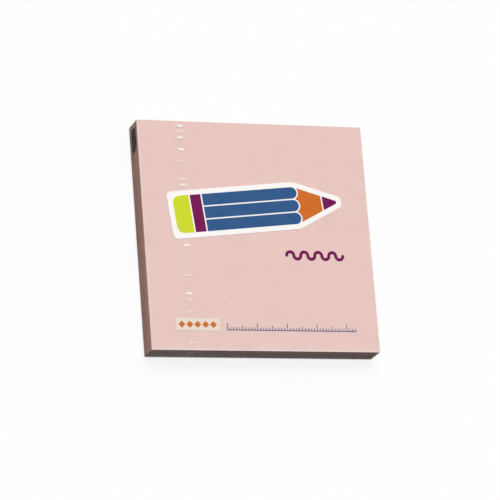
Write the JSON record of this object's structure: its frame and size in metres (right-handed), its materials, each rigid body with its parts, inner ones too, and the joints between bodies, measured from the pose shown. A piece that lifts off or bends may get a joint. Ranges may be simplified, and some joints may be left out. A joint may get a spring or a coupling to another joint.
{
  "type": "sticky note pad",
  "caption": "Square pad of pastel pink sticky notes, sealed in clear printed film with a tear line near one end",
  "frame": {"origin": "middle of the wrap's underside, where the pad rests", "axes": "+X across the printed front to its right edge, +Y up the front to its top edge, +Z out of the printed front, through the thickness"},
  "size_m": [0.0768, 0.0769, 0.0088],
  "materials": {
    "note_paper": "matte",
    "release_paper": "satin",
    "clear_film": "gloss",
    "white_print": "satin",
    "blue_print": "satin",
    "orange_print": "satin",
    "lime_print": "satin",
    "purple_print": "satin",
    "cream_print": "satin",
    "slate_print": "satin",
    "end_print": "satin"
  },
  "bodies": {
    "root": {"note_block": "note_paper", "backing_sheet": "release_paper", "film_wrap": "clear_film", "white_print": "white_print", "blue_print": "blue_print", "orange_print": "orange_print", "lime_print": "lime_print", "purple_print": "purple_print", "cream_print": "cream_print", "slate_print": "slate_print", "end_print": "end_print"}
  },
  "joints": []
}
